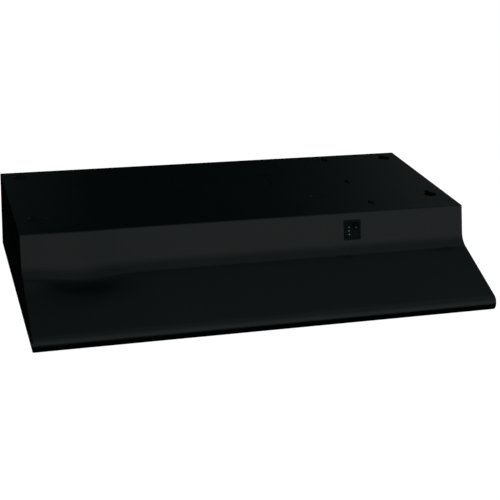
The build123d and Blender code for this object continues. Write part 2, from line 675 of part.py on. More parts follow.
# ------------------------------------------------------------------ filter
filter_x = (-FILTER_WIDTH / 2, FILTER_WIDTH / 2)
filter_y = (FILTER_REAR - FILTER_DEPTH, FILTER_REAR)
filter_z = (HOUSING_BOTTOM - FILTER_THICKNESS, HOUSING_BOTTOM)
window_x = (filter_x[0] + FILTER_BORDER, filter_x[1] - FILTER_BORDER)
window_y = (filter_y[0] + FILTER_BORDER, filter_y[1] - FILTER_BORDER)
groove_x = (window_x[0] - GROOVE_DEPTH, window_x[1] + GROOVE_DEPTH)
groove_y = (window_y[0] - GROOVE_DEPTH, window_y[1] + GROOVE_DEPTH)
groove_z = (filter_z[0] + FILTER_LIP, filter_z[1] - FILTER_LIP)
PIVOT_Y = FILTER_REAR - PIN_INSET
PIVOT_Z = HOUSING_BOTTOM - PIN_INSET

with BuildPart() as filter_frame:
    block(filter_x, filter_y, filter_z)
    fillet(filter_frame.edges().filter_by(Axis.Z), FILTER_CORNER)
    block(window_x, window_y, filter_z, Mode.SUBTRACT)
    block(groove_x, groove_y, groove_z, Mode.SUBTRACT)
save(filter_frame, "filter_frame")

with BuildPart() as filter_mesh:
    for layer in range(MESH_LAYERS):
        low = groove_z[0] + layer * (groove_z[1] - groove_z[0] - MESH_SHEET) / (MESH_LAYERS - 1)
        block(groove_x, groove_y, (low, low + MESH_SHEET))
save(filter_mesh, "filter_mesh")

with BuildPart() as filter_hinge_pins:
    for side in (-1, 1):
        pin_x = (side * FILTER_WIDTH / 2, side * (FILTER_WIDTH / 2 + PIN_LENGTH))
        rod(pin_x, PIVOT_Y, PIVOT_Z, PIN_DIAMETER / 2)
save(filter_hinge_pins, "filter_hinge_pins")

with BuildPart() as filter_hinge_brackets:
    for side in (-1, 1):
        inner = side * (FILTER_WIDTH / 2 + HINGE_SIDE_GAP)
        block(
            (inner, side * (HOUSING_HALF + HOUSING_FLANGE)),
            (PIVOT_Y - HINGE_ARM[0], PIVOT_Y - HINGE_ARM[1]),
            (HOUSING_BOTTOM - HINGE_SHEET, HOUSING_BOTTOM),
        )
        block(
            (inner, inner + side * HINGE_SHEET),
            (PIVOT_Y - HINGE_ARM[0], PIVOT_Y + HINGE_ARM[1]),
            (HOUSING_BOTTOM - HINGE_DROP, HOUSING_BOTTOM),
        )
        bore = PIN_DIAMETER / 2 + PIN_CLEARANCE
        rod((inner - side, inner + side * 2 * HINGE_SHEET), PIVOT_Y, PIVOT_Z, bore, Mode.SUBTRACT)
save(filter_hinge_brackets, "filter_hinge_brackets")

with BuildPart() as filter_latch_spring:
    front = HOUSING_FRONT - HOUSING_FLANGE - LATCH_THICKNESS
    with BuildSketch(Plane.YZ):
        with BuildLine():
            FilletPolyline(
                (front + 7, HOUSING_BOTTOM + SHEET + LATCH_THICKNESS),
                (front - LATCH_THICKNESS, HOUSING_BOTTOM + SHEET + LATCH_THICKNESS),
                (front - LATCH_THICKNESS, HOUSING_BOTTOM - 3),
                (filter_y[0] - 0.4 - LATCH_THICKNESS, HOUSING_BOTTOM - 5.5),
                (front + LATCH_THICKNESS, HOUSING_BOTTOM - 10),
                radius=[1.2, 1, 0.9],
            )
            offset(amount=LATCH_THICKNESS, side=Side.LEFT)
        make_face()
    extrude(amount=LATCH_HALF_WIDTH, both=True)
save(filter_latch_spring, "filter_latch_spring")

with BuildPart() as filter_pull_tab:
    with BuildSketch(Plane.XY.offset(filter_z[0])):
        with Locations((0, filter_y[0] + TAB_SETBACK)):
            SlotOverall(*TAB_LOOP)
            SlotOverall(*TAB_EYE, mode=Mode.SUBTRACT)
    extrude(amount=-TAB_THICKNESS)
save(filter_pull_tab, "filter_pull_tab")

# ------------------------------------------------------------------ switches
collar_width = CUTOUT_WIDTH - 2 * COLLAR_FIT
collar_height = CUTOUT_HEIGHT - 2 * COLLAR_FIT
inner_width = collar_width - 2 * COLLAR_WALL
inner_height = collar_height - 2 * COLLAR_WALL
window_height = 2 * (ROCKER_REACH + ROCKER_GAP)
window_width = ROCKER_WIDTH + 2 * ROCKER_GAP
with BuildPart() as switch_bezel:
    with BuildSketch(face_plane):
        RectangleRounded(BEZEL_WIDTH, BEZEL_HEIGHT, BEZEL_CORNER)
        with Locations((-ROCKER_PITCH / 2, 0), (ROCKER_PITCH / 2, 0)):
            Rectangle(window_width, window_height, mode=Mode.SUBTRACT)
    extrude(amount=BEZEL_THICKNESS)
    with BuildSketch(face_plane):
        Rectangle(collar_width, collar_height)
        Rectangle(inner_width, inner_height, mode=Mode.SUBTRACT)
    extrude(amount=-COLLAR_DEPTH)
save(switch_bezel, "switch_bezel")

body_width = window_width + 2 * BODY_WALL
beyond = ROCKER_REACH + 1  # the outline is trimmed by a circle about the pivot
end_rise = ROCKER_RISE + beyond * ROCKER_VEE
for side, name in ((-1, "fan"), (1, "light")):
    pivot = Plane(face_plane * Location((side * ROCKER_PITCH / 2, 0, -PIVOT_DEPTH)))
    with BuildPart() as switch_body:
        with BuildSketch(Plane(face_plane * Location((side * ROCKER_PITCH / 2, 0, 0)))):
            Rectangle(body_width, inner_height)
        extrude(amount=-BODY_DEPTH)
        with BuildSketch(Plane(face_plane * Location((side * ROCKER_PITCH / 2, 0, 0)))):
            Rectangle(window_width, window_height)
        extrude(amount=-WELL_DEPTH, mode=Mode.SUBTRACT)
        with Locations(pivot * Location((0, 0, 0), (0, 90, 0))):
            Cylinder(TRUNNION_DIAMETER / 2 + PIN_CLEARANCE, body_width + 1, mode=Mode.SUBTRACT)
    save(switch_body, f"{name}_switch_body")
    tilt = 0 if name == "fan" else ROCKER_TILT
    rock = Plane(pivot * Location((0, 0, 0), (tilt, 0, 0)))
    side_view = Plane(origin=rock.origin, x_dir=rock.y_dir, z_dir=rock.x_dir)
    with BuildPart() as rocker:
        with BuildSketch(side_view):
            Circle(ROCKER_REACH)
            with BuildLine():
                Polyline(
                    (-beyond, end_rise),
                    (0, ROCKER_RISE),
                    (beyond, end_rise),
                    (beyond, -ROCKER_SKIRT),
                    (ROCKER_KEEL, -ROCKER_KEEL),
                    (-ROCKER_KEEL, -ROCKER_KEEL),
                    (-beyond, -ROCKER_SKIRT),
                    close=True,
                )
            make_face(mode=Mode.INTERSECT)
        extrude(amount=ROCKER_WIDTH / 2, both=True)
        with BuildSketch(side_view):
            Circle(TRUNNION_DIAMETER / 2)
        extrude(amount=ROCKER_WIDTH / 2 + TRUNNION_LENGTH, both=True)
    save(rocker, f"{name}_rocker")

with BuildPart() as switch_terminals:
    for side in (-1, 1):
        for row in TERMINAL_ROWS:
            with BuildSketch(Plane(face_plane * Location((side * ROCKER_PITCH / 2, row, -BODY_DEPTH)))):
                Rectangle(TERMINAL_WIDTH, TERMINAL_THICKNESS)
            extrude(amount=-TERMINAL_LENGTH)
save(switch_terminals, "switch_terminals")


# ------------------------------------------------------------------ wiring compartment
cover_screw_z = COVER_Z + COVER_FLANGE / 2
with BuildPart() as wiring_partition:
    block((PARTITION_X, PARTITION_X + SHEET), (PARTITION_FRONT, PARTITION_REAR), (LAMP_BOTTOM, -2 * SHEET))
    block((PARTITION_X, PARTITION_X + FLANGE), (LAP_Y + LAP_REAR, PARTITION_REAR), (-2 * SHEET, -SHEET))
    for y in PARTITION_TABS:
        # The flange is notched round each tab.
        notch_y = (y - TAB_SLOT[1], y + TAB_SLOT[1])
        block((PARTITION_X, PARTITION_X + FLANGE), notch_y, (-2 * SHEET, -SHEET), Mode.SUBTRACT)
        block((PARTITION_X, PARTITION_X + SHEET), (y - TAB_HALF, y + TAB_HALF), (-2 * SHEET, -TAB_RECESS))
    rod((PARTITION_X, PARTITION_X + SHEET), BULB_Y, BULB_Z, LAMP_LEAD_HOLE, Mode.SUBTRACT)
    for y in COVER_SCREWS_Y:
        rod((PARTITION_X, PARTITION_X + SHEET), y, cover_screw_z, COVER_SCREW_HOLE, Mode.SUBTRACT)
save(wiring_partition, "wiring_partition")

cover_y = (PARTITION_FRONT, COVER_REAR)
with BuildPart() as wiring_cover:
    block((HOUSING_HALF + SHEET, PARTITION_X), cover_y, (COVER_Z, COVER_Z + SHEET))
    block((PARTITION_X - SHEET, PARTITION_X), cover_y, (COVER_Z, COVER_Z + COVER_FLANGE))
    for y in COVER_SCREWS_Y:
        rod((PARTITION_X - SHEET, PARTITION_X), y, cover_screw_z, COVER_SCREW_HOLE, Mode.SUBTRACT)
save(wiring_cover, "wiring_cover")

with BuildPart() as cover_screws:
    for y in COVER_SCREWS_Y:
        with BuildSketch(Plane.YZ.offset(PARTITION_X + SHEET)):
            with Locations((y, cover_screw_z)):
                RegularPolygon(NUT_ACROSS / sqrt(3), 6)
        extrude(amount=NUT_HEIGHT)
        shank_x = (PARTITION_X + SHEET - STRAP_SCREW_LENGTH, PARTITION_X + SHEET)
        rod(shank_x, y, cover_screw_z, COVER_SCREW_HOLE - 0.1)
save(cover_screws, "cover_screws")

with BuildPart() as lead_grommet:
    wall_x = (HOUSING_HALF - SHEET, HOUSING_HALF)
    rod(grown(wall_x, 2), *LEAD_HOLE, LEAD_HOLE_RADIUS + 2.5)
    # Groove that the housing's wall sits in
    with BuildSketch(Plane.YZ.offset(wall_x[0])):
        with Locations(LEAD_HOLE):
            Circle(LEAD_HOLE_RADIUS + 3)
            Circle(LEAD_HOLE_RADIUS, mode=Mode.SUBTRACT)
    extrude(amount=SHEET, mode=Mode.SUBTRACT)
    rod(grown(wall_x, 3), *LEAD_HOLE, LEAD_RADIUS, Mode.SUBTRACT)
save(lead_grommet, "lead_grommet")


def lead(points, bends, radius):
    """A jacketed lead along straight runs joined by round bends."""
    with BuildLine() as route:
        FilletPolyline(*points, radius=bends)
    start = Plane(origin=route.line @ 0, z_dir=route.line % 0)
    with BuildSketch(start) as section:
        Circle(radius)
    sweep(section.sketch, path=route.line)


with BuildPart() as motor_lead:
    lead(
        (
            (BOBBIN_HALF + BOBBIN_FLANGE, *LEAD_HOLE),
            (160, *LEAD_HOLE),
            (172, -40, -84),
            (172, -110, -70),
            (172, TOP_FRONT_Y + 32, -42),
        ),
        (20, 30, 30),
        LEAD_RADIUS,
    )
save(motor_lead, "motor_lead")

with BuildPart() as lamp_lead:
    lead(
        (
            (PARTITION_X + SHEET, BULB_Y, BULB_Z),
            (200, BULB_Y, BULB_Z),
            (188, -120, -60),
            (188, TOP_FRONT_Y + 32, -42),
        ),
        (14, 20),
        LEAD_RADIUS,
    )
save(lamp_lead, "lamp_lead")

with BuildPart() as ground_screw:
    with BuildSketch(Plane.YZ.offset(PARTITION_X)):
        with Locations(GROUND_SCREW):
            RegularPolygon(NUT_ACROSS / sqrt(3), 6)
    extrude(amount=-NUT_HEIGHT)
save(ground_screw, "ground_screw")

# ------------------------------------------------------------------ lamp
lamp_y = (BULB_Y - LAMP_HALF_DEPTH, BULB_Y + LAMP_HALF_DEPTH)
lamp_left = PARTITION_X + SHEET


def lamp_section(inset):
    """Trough section of the lamp's reflector, open at the bottom, pulled in by the inset."""
    with BuildLine() as outline:
        Polyline(
            (lamp_y[0] + inset, LAMP_BOTTOM),
            (lamp_y[0] + inset, LAMP_SHOULDER),
            (lamp_y[0] + LAMP_LEAN, LAMP_TOP - inset),
            (lamp_y[1] - LAMP_LEAN, LAMP_TOP - inset),
            (lamp_y[1] - inset, LAMP_SHOULDER),
            (lamp_y[1] - inset, LAMP_BOTTOM),
            close=True,
        )
    make_face(outline.edges())


with BuildPart() as lamp_housing:
    with BuildSketch(Plane.YZ.offset(lamp_left)):
        lamp_section(0)
    extrude(amount=LAMP_RIGHT - lamp_left)
    block(
        (lamp_left, LAMP_RIGHT),
        grown(lamp_y, HOUSING_FLANGE),
        (LAMP_BOTTOM, LAMP_BOTTOM + SHEET),
    )
    with BuildSketch(Plane.YZ.offset(lamp_left)):
        lamp_section(SHEET)
    extrude(amount=LAMP_RIGHT - lamp_left - SHEET, mode=Mode.SUBTRACT)
save(lamp_housing, "lamp_housing")

socket_floor = lamp_left + SOCKET_FLOOR
socket_mouth = lamp_left + SOCKET_LENGTH
with BuildPart() as lamp_socket:
    flange_x = (lamp_left, lamp_left + SOCKET_FLANGE)
    rod(flange_x, BULB_Y, BULB_Z, SOCKET_FLANGE_RADIUS)
    rod((flange_x[1], socket_mouth), BULB_Y, BULB_Z, SOCKET_RADIUS)
    fillet(lamp_socket.faces().sort_by(Axis.X)[-1].edges(), 1.5)
    rod((socket_floor, socket_mouth), BULB_Y, BULB_Z, SOCKET_BORE, Mode.SUBTRACT)
    rod((lamp_left, socket_floor), BULB_Y, BULB_Z, LEAD_RADIUS + 0.5, Mode.SUBTRACT)
    for side in (-1, 1):
        rod(flange_x, BULB_Y + side * SOCKET_RIVET_SPREAD, BULB_Z, SOCKET_RIVET_RADIUS, Mode.SUBTRACT)
save(lamp_socket, "lamp_socket")

with BuildPart() as socket_screw_shell:
    shell_x = (socket_floor + 1, socket_mouth - 2)
    rod(shell_x, BULB_Y, BULB_Z, SOCKET_BORE)
    rod(shell_x, BULB_Y, BULB_Z, SOCKET_BORE - SHELL_THICKNESS, Mode.SUBTRACT)
save(socket_screw_shell, "socket_screw_shell")

base_start = socket_floor + CONTACT_THICKNESS
with BuildPart() as socket_contact:
    block(
        (socket_floor, base_start),
        (BULB_Y - CONTACT_HALF[0], BULB_Y + CONTACT_HALF[0]),
        (BULB_Z - CONTACT_HALF[1], BULB_Z + CONTACT_HALF[1]),
    )
save(socket_contact, "socket_contact")

base_end = base_start + BASE_LENGTH
with BuildPart() as bulb_base:
    rod((base_start, base_start + BASE_TIP), BULB_Y, BULB_Z, BASE_TIP_RADIUS)
    rod((base_start + BASE_TIP, base_end), BULB_Y, BULB_Z, BASE_RADIUS)
    rod((base_start + BASE_TIP + 2, base_end), BULB_Y, BULB_Z, BASE_RADIUS - BASE_WALL, Mode.SUBTRACT)
save(bulb_base, "bulb_base")


def bulb_outline(inset):
    """Half of the lamp's glass in the plane above its axis, pulled in by the inset."""
    neck = base_end - 5
    tip = base_start + BULB_LENGTH - inset
    neck_radius = BASE_RADIUS - 1 - inset
    with BuildLine() as outline:
        shell = FilletPolyline(
            (neck, neck_radius),
            (neck + 12, neck_radius),
            (tip + inset - BULB_RADIUS - 8, BULB_RADIUS - inset),
            (tip, BULB_RADIUS - inset),
            (tip, 0),
            radius=[18 + inset, 26 - inset, 28.5 - inset],
        )
        Polyline(shell @ 1, (neck, 0), shell @ 0)
    return outline


bulb_plane = Plane(origin=(0, BULB_Y, BULB_Z), x_dir=(1, 0, 0), z_dir=(0, -1, 0))
with BuildPart() as bulb_glass:
    for inset, mode in ((0, Mode.ADD), (GLASS_WALL, Mode.SUBTRACT)):
        with BuildSketch(bulb_plane) as half:
            make_face(bulb_outline(inset).edges())
        revolve(half.sketch, axis=Axis((0, BULB_Y, BULB_Z), (1, 0, 0)), mode=mode)
save(bulb_glass, "bulb_glass")

lens_x = (lamp_left + LENS_END_GAP, LAMP_RIGHT - LENS_END_GAP)
lens_y = grown(lamp_y, -LENS_SIDE_GAP)
lens_z = (LAMP_BOTTOM - LENS_HEIGHT, LAMP_BOTTOM)
LENS_PIVOT = (lens_y[1] - LENS_PIN_INSET, lens_z[1] - LENS_PIN_INSET)
with BuildPart() as lamp_lens:
    block(lens_x, lens_y, lens_z)
    fillet(lamp_lens.edges().filter_by(Axis.Z), LENS_CORNER)
    fillet(lamp_lens.faces().sort_by(Axis.Z)[0].edges(), LENS_EDGE)
    block(
        grown(lens_x, -LENS_THICKNESS),
        grown(lens_y, -LENS_THICKNESS),
        (lens_z[0] + LENS_THICKNESS, lens_z[1]),
        Mode.SUBTRACT,
    )
    for edge, side in ((lens_x[0], -1), (lens_x[1], 1)):
        rod((edge + side * LENS_PIN_OUTER, edge - side * LENS_PIN_INNER), *LENS_PIVOT, LENS_PIN_RADIUS)
save(lamp_lens, "lamp_lens")

with BuildPart() as lens_hinge_brackets:
    for edge, side in ((lens_x[0], -1), (lens_x[1], 1)):
        block(
            (edge + side * LENS_BRACKET[0], edge + side * LENS_BRACKET[1]),
            (LENS_PIVOT[0] - 4, lamp_y[1] + HOUSING_FLANGE),
            (LENS_PIVOT[1] - 3, LAMP_BOTTOM),
        )
        bore = LENS_PIN_RADIUS + PIN_CLEARANCE
        rod((edge, edge + side * LENS_PIN_OUTER), *LENS_PIVOT, bore, Mode.SUBTRACT)
save(lens_hinge_brackets, "lens_hinge_brackets")
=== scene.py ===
import json
import math

import bmesh
import bpy
from mathutils import Matrix, Vector

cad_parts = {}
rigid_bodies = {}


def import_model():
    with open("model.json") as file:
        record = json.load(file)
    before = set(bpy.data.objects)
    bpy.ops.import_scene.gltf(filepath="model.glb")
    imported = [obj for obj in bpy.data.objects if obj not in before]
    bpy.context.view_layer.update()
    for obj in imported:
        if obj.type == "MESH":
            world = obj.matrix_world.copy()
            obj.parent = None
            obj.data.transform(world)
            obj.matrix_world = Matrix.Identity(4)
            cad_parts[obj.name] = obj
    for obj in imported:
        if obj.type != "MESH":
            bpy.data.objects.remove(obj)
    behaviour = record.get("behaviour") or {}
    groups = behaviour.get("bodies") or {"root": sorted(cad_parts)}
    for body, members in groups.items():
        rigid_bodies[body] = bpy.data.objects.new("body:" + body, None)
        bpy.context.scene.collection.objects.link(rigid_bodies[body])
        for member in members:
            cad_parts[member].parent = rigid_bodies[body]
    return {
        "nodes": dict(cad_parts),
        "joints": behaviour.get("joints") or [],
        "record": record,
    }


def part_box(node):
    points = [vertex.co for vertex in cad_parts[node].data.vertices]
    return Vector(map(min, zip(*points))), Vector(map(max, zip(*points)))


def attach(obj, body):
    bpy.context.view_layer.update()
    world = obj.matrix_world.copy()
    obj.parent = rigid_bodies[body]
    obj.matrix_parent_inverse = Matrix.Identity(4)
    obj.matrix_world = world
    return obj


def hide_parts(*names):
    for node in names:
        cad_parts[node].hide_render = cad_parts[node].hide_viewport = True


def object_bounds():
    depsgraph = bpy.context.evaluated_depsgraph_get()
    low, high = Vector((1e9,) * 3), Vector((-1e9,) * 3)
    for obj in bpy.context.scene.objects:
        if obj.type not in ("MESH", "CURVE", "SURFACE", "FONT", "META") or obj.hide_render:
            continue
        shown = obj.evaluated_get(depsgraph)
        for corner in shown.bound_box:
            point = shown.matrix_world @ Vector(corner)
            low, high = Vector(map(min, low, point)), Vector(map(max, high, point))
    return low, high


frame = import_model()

MM = 0.001
nodes = frame["nodes"]
joints = {joint["name"]: joint for joint in frame["joints"]}
cad_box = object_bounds()
low, high = cad_box


# ---------------------------------------------------------------- stage, camera and light
FLOOR_DROP = 0.42  # floor below the top face, under the reach of the open filter
CAMERA_PLACE = (-0.556, -1.956, 0.690)
CAMERA_YAW, CAMERA_PITCH, CAMERA_ROLL = 0.2997, 0.3381, 0.0387  # radians
CAMERA_LENS = 86.9
CAMERA_SHIFT = -0.10
VIEW_END = 50.0  # farthest that the camera sees


def make_camera():
    """Long lens from the front left and above, slightly rolled, with a small shift."""
    data = bpy.data.cameras.new("camera")
    data.lens = CAMERA_LENS
    data.shift_y = CAMERA_SHIFT
    data.clip_end = VIEW_END
    camera = bpy.data.objects.new("camera", data)
    bpy.context.scene.collection.objects.link(camera)
    ahead = Vector((
        math.sin(CAMERA_YAW) * math.cos(CAMERA_PITCH),
        math.cos(CAMERA_YAW) * math.cos(CAMERA_PITCH),
        -math.sin(CAMERA_PITCH),
    ))
    level = Vector((math.cos(CAMERA_YAW), -math.sin(CAMERA_YAW), 0))
    upright = level.cross(ahead)
    right = level * math.cos(CAMERA_ROLL) + upright * math.sin(CAMERA_ROLL)
    up = upright * math.cos(CAMERA_ROLL) - level * math.sin(CAMERA_ROLL)
    turn = Matrix((right, up, -ahead)).transposed().to_4x4()
    camera.matrix_world = Matrix.Translation(CAMERA_PLACE) @ turn
    bpy.context.scene.camera = camera


class Nodes:
    """Short way to build a node tree."""

    def __init__(self, tree):
        self.tree = tree
        tree.nodes.clear()

    def add(self, kind, values=None, **settings):
        """New node; values are links or constants for its inputs, settings are its own."""
        node = self.tree.nodes.new(kind)
        for key, value in settings.items():
            setattr(node, key, value)
        for key, value in (values or {}).items():
            if isinstance(value, bpy.types.NodeSocket):
                self.tree.links.new(value, node.inputs[key])
            else:
                node.inputs[key].default_value = value
        return node

    def ramp(self, factor, *stops):
        """Colour ramp from (position, grey or colour) stops."""
        node = self.add("ShaderNodeValToRGB", {"Fac": factor})
        marks = node.color_ramp.elements
        while len(marks) < len(stops):
            marks.new(0.5)
        for mark, (place, tone) in zip(marks, stops):
            mark.position = place
            mark.color = (*tone, 1) if isinstance(tone, tuple) else (tone, tone, tone, 1)
        return node.outputs["Color"]

    def math(self, operation, a, b=0.0):
        """Output of a maths node on one or two numbers."""
        return self.add("ShaderNodeMath", {0: a, 1: b}, operation=operation).outputs[0]

    def tint(self, blend, a, b):
        """Colour b blended fully over colour a."""
        values = {0: 1.0, 6: a, 7: b}  # factor and the two colours of a mix node
        return self.add("ShaderNodeMix", values, data_type="RGBA", blend_type=blend).outputs[2]

    def link(self, output, socket):
        self.tree.links.new(output, socket)


# Brightness of the reflected studio.  ARC runs in degrees from the front horizon (0) over
# the top (90) to the rear horizon (180); negative is below the front horizon.
ARC = (
    (-24, 0.0), (-7, 0.36), (12, 0.41), (28, 0.35), (46, 0.25), (62, 0.19),
    (90, 0.175), (102, 0.18), (108, 0.165), (118, 0.07), (140, 0.006), (172, 0.004), (180, 0.0),
)
ARC_BY_SIDE = ((0.06, 0.80), (0.20, 1.0))  # sideways component of the direction, strength
REAR_ARC = ((148, 0.0), (154, 1.0), (174, 1.0), (180, 0.0))
REAR_BY_SIDE = (
    (0.05, 0.024), (0.16, 0.0), (0.30, 0.004), (0.36, 0.018), (0.41, 0.045), (0.5, 0.06),
)
FLANK = ((0.62, 0.0), (0.90, 0.45))  # soft boxes far to the left and right
STUDIO_TINT = (0.96, 1.0, 1.0, 1)
WHITE = (1, 1, 1, 1)
HALF_TURN = 180


def make_world():
    """White backdrop; what the gloss reflects is a dim studio, lit from in front and above."""
    world = bpy.data.worlds.new("studio")
    bpy.context.scene.world = world
    world.use_nodes = True
    n = Nodes(world.node_tree)
    direction = n.add("ShaderNodeTexCoord").outputs["Generated"]
    x, y, z = n.add("ShaderNodeSeparateXYZ", {"Vector": direction}).outputs
    turn = n.math("DEGREES", n.math("ARCTAN2", z, n.math("MULTIPLY", y, -1.0)))

    def tones(value, reach, stops):
        scaled = n.math("ADD", n.math("MULTIPLY", value, 0.5 / reach), 0.5)
        return n.ramp(scaled, *[(place / (2 * reach) + 0.5, tone) for place, tone in stops])

    front = n.tint("MULTIPLY", tones(turn, HALF_TURN, ARC), tones(x, 1, ARC_BY_SIDE))
    rear = n.tint("MULTIPLY", tones(turn, HALF_TURN, REAR_ARC), tones(x, 1, REAR_BY_SIDE))
    flanks = tones(n.math("ABSOLUTE", x), 1, FLANK)
    studio = n.tint("MULTIPLY", n.tint("ADD", n.tint("ADD", front, rear), flanks), STUDIO_TINT)
    dim = n.add("ShaderNodeBackground", {"Color": studio, "Strength": 1.0})
    backdrop = n.add("ShaderNodeBackground", {"Color": WHITE, "Strength": 1.0})
    seen = n.add("ShaderNodeLightPath").outputs["Is Camera Ray"]
    mix = n.add("ShaderNodeMixShader", {0: seen, 1: dim.outputs[0], 2: backdrop.outputs[0]})
    n.add("ShaderNodeOutputWorld", {"Surface": mix.outputs[0]})


def area_light(name, place, target, size, power):
    """Soft box of a size in metres and a power in watts, aimed at a point of the hood."""
    data = bpy.data.lights.new(name, "AREA")
    data.shape = "RECTANGLE"
    data.size, data.size_y = size
    data.energy = power
    lamp = bpy.data.objects.new(name, data)
    bpy.context.scene.collection.objects.link(lamp)
    lamp.location = place
    aim = Vector(target) - Vector(place)
    lamp.rotation_mode = "QUATERNION"
    lamp.rotation_quaternion = aim.to_track_quat("-Z", "Y")
    return lamp


LAMPS = (  # name, place, aim, size, power
    ("key", (0.4, -1.2, 1.3), (0, -0.2, -0.1), (1.4, 0.8), 22),
    ("fill", (0.9, 1.0, 1.4), (0.1, 0, -0.1), (1.5, 1.5), 6),
)
UNDERSIDE_LAMP = ("underside", (0.1, 0.95, -1.5), (0, 0, -0.1), (2.2, 1.2), 24)
FLOOR_REACH = 12.0
FLOOR_PAPER = (0.05, 0.05, 0.05, 1)  # what the lamps add to the floor's own glow


def make_stage():
    """Pale floor, clear from beneath and left out of the gloss, and soft lights."""
    mesh = bpy.data.meshes.new("floor")
    signs = [(-1, -1), (1, -1), (1, 1), (-1, 1)]
    corners = [(x * FLOOR_REACH, y * FLOOR_REACH, high.z - FLOOR_DROP) for x, y in signs]
    mesh.from_pydata(corners, [], [(0, 1, 2, 3)])
    floor = bpy.data.objects.new("floor", mesh)
    bpy.context.scene.collection.objects.link(floor)
    paper = bpy.data.materials.new("floor_paper")
    paper.use_nodes = True
    n = Nodes(paper.node_tree)
    shade = n.add("ShaderNodeBsdfDiffuse", {"Color": FLOOR_PAPER})
    glow = n.add("ShaderNodeEmission", {"Color": WHITE, "Strength": 1.0})
    both = n.add("ShaderNodeAddShader", {0: shade.outputs[0], 1: glow.outputs[0]})
    beneath = n.add("ShaderNodeNewGeometry").outputs["Backfacing"]
    clear = n.add("ShaderNodeBsdfTransparent")
    one_sided = n.add("ShaderNodeMixShader", {0: beneath, 1: both.outputs[0], 2: clear.outputs[0]})
    n.add("ShaderNodeOutputMaterial", {"Surface": one_sided.outputs[0]})
    mesh.materials.append(paper)
    floor.visible_glossy = False
    floor.visible_diffuse = False
    floor.visible_shadow = False
    for lamp in LAMPS:
        area_light(*lamp).visible_glossy = False


def light_underside(panel):
    """Soft box beneath the floor, for everything but the front panel's dark lower lip."""
    lamp = area_light(*UNDERSIDE_LAMP)
    lamp.visible_camera = False
    lit = bpy.data.collections.new("lit_from_beneath")
    for piece in bpy.context.scene.objects:
        if piece.type == "MESH" and piece not in (panel, nodes["front_panel"]):
            lit.objects.link(piece)
    lamp.light_linking.receiver_collection = lit


# ---------------------------------------------------------------- materials
def material(name, build):
    """Principled material in the object's own coordinates, finished by a build function."""
    made = bpy.data.materials.new(name)
    made.use_nodes = True
    n = Nodes(made.node_tree)
    shader = n.add("ShaderNodeBsdfPrincipled")
    n.add("ShaderNodeOutputMaterial", {"Surface": shader.outputs["BSDF"]})
    place = n.add("ShaderNodeTexCoord").outputs["Object"]
    build(n, shader, place)
    return made


def noise(n, place, size, detail=2.0, roughness=0.5):
    """Noise whose features are about size metres across."""
    values = {"Vector": place, "Scale": 1 / size, "Detail": detail, "Roughness": roughness}
    return n.add("ShaderNodeTexNoise", values).outputs["Fac"]


def bump(n, shader, height, depth, strength=1.0):
    """Fine relief of the height times the depth, in metres."""
    values = {"Height": height, "Distance": depth, "Strength": strength}
    n.link(n.add("ShaderNodeBump", values).outputs["Normal"], shader.inputs["Normal"])


ENAMEL_DARK, ENAMEL_LIGHT = (0.0003, 0.0019, 0.0018), (0.0005, 0.0025, 0.0024)
ZINC_DARK, ZINC_LIGHT = (0.34, 0.35, 0.37), (0.52, 0.53, 0.54)
SPANGLE_SIZE = 11 * MM


def enamel(n, shader, place):
    """Baked black enamel: gloss, faint orange peel, thin haze of dust and wiping marks."""
    haze = noise(n, place, 0.09, 4)
    tint = n.ramp(haze, (0.3, ENAMEL_DARK), (0.75, ENAMEL_LIGHT))
    n.link(tint, shader.inputs["Base Color"])
    wiped = noise(n, place, 0.03, 6, 0.6)
    n.link(n.ramp(wiped, (0.3, 0.15), (0.8, 0.22)), shader.inputs["Roughness"])
    shader.inputs["IOR"].default_value = 1.48
    peel = noise(n, place, 0.0016, 1)
    bump(n, shader, peel, 0.000006, 0.5)


def galvanised(n, shader, place):
    """Zinc-coated sheet with crystal spangle."""
    spangle = n.add("ShaderNodeTexVoronoi", {"Vector": place, "Scale": 1 / SPANGLE_SIZE}).outputs["Color"]
    grey = n.add("ShaderNodeRGBToBW", {0: spangle}).outputs[0]
    n.link(n.ramp(grey, (0.1, ZINC_DARK), (0.9, ZINC_LIGHT)), shader.inputs["Base Color"])
    n.link(n.ramp(grey, (0.1, 0.34), (0.9, 0.5)), shader.inputs["Roughness"])
    shader.inputs["Metallic"].default_value = 0.9
    bump(n, shader, noise(n, place, 0.004, 3), 0.00004, 0.4)


def metal(dark, light, rough, grain=(1, 1, 1), size=0.002, depth=0.00001):
    """Bare metal with a fine grain, stretched along the directions where grain is small."""

    def build(n, shader, place):
        stretched = n.add("ShaderNodeMapping", {"Vector": place, "Scale": grain}).outputs[0]
        lines = noise(n, stretched, size, 5, 0.6)
        n.link(n.ramp(lines, (0.25, dark), (0.75, light)), shader.inputs["Base Color"])
        n.link(n.ramp(lines, (0.2, rough - 0.06), (0.8, rough + 0.08)), shader.inputs["Roughness"])
        shader.inputs["Metallic"].default_value = 1.0
        bump(n, shader, lines, depth, 0.6)

    return build


WAVE_SCALE = 0.31416  # a wave texture of this scale has bands 1 m apart


def banded(dark, light, rough, direction, pitch, metallic, depth=0.0001):
    """Stacked sheets or wound turns: bands of one pitch along one axis."""

    def build(n, shader, place):
        bands = n.add(
            "ShaderNodeTexWave",
            {"Vector": place, "Scale": WAVE_SCALE / pitch, "Distortion": 0.4, "Detail": 1.0},
            bands_direction=direction,
        ).outputs["Fac"]
        n.link(n.ramp(bands, (0.0, dark), (0.6, light)), shader.inputs["Base Color"])
        worn = noise(n, place, 0.006, 3)
        n.link(n.ramp(worn, (0.2, rough - 0.06), (0.8, rough + 0.06)), shader.inputs["Roughness"])
        shader.inputs["Metallic"].default_value = metallic
        bump(n, shader, bands, depth, 0.8)

    return build


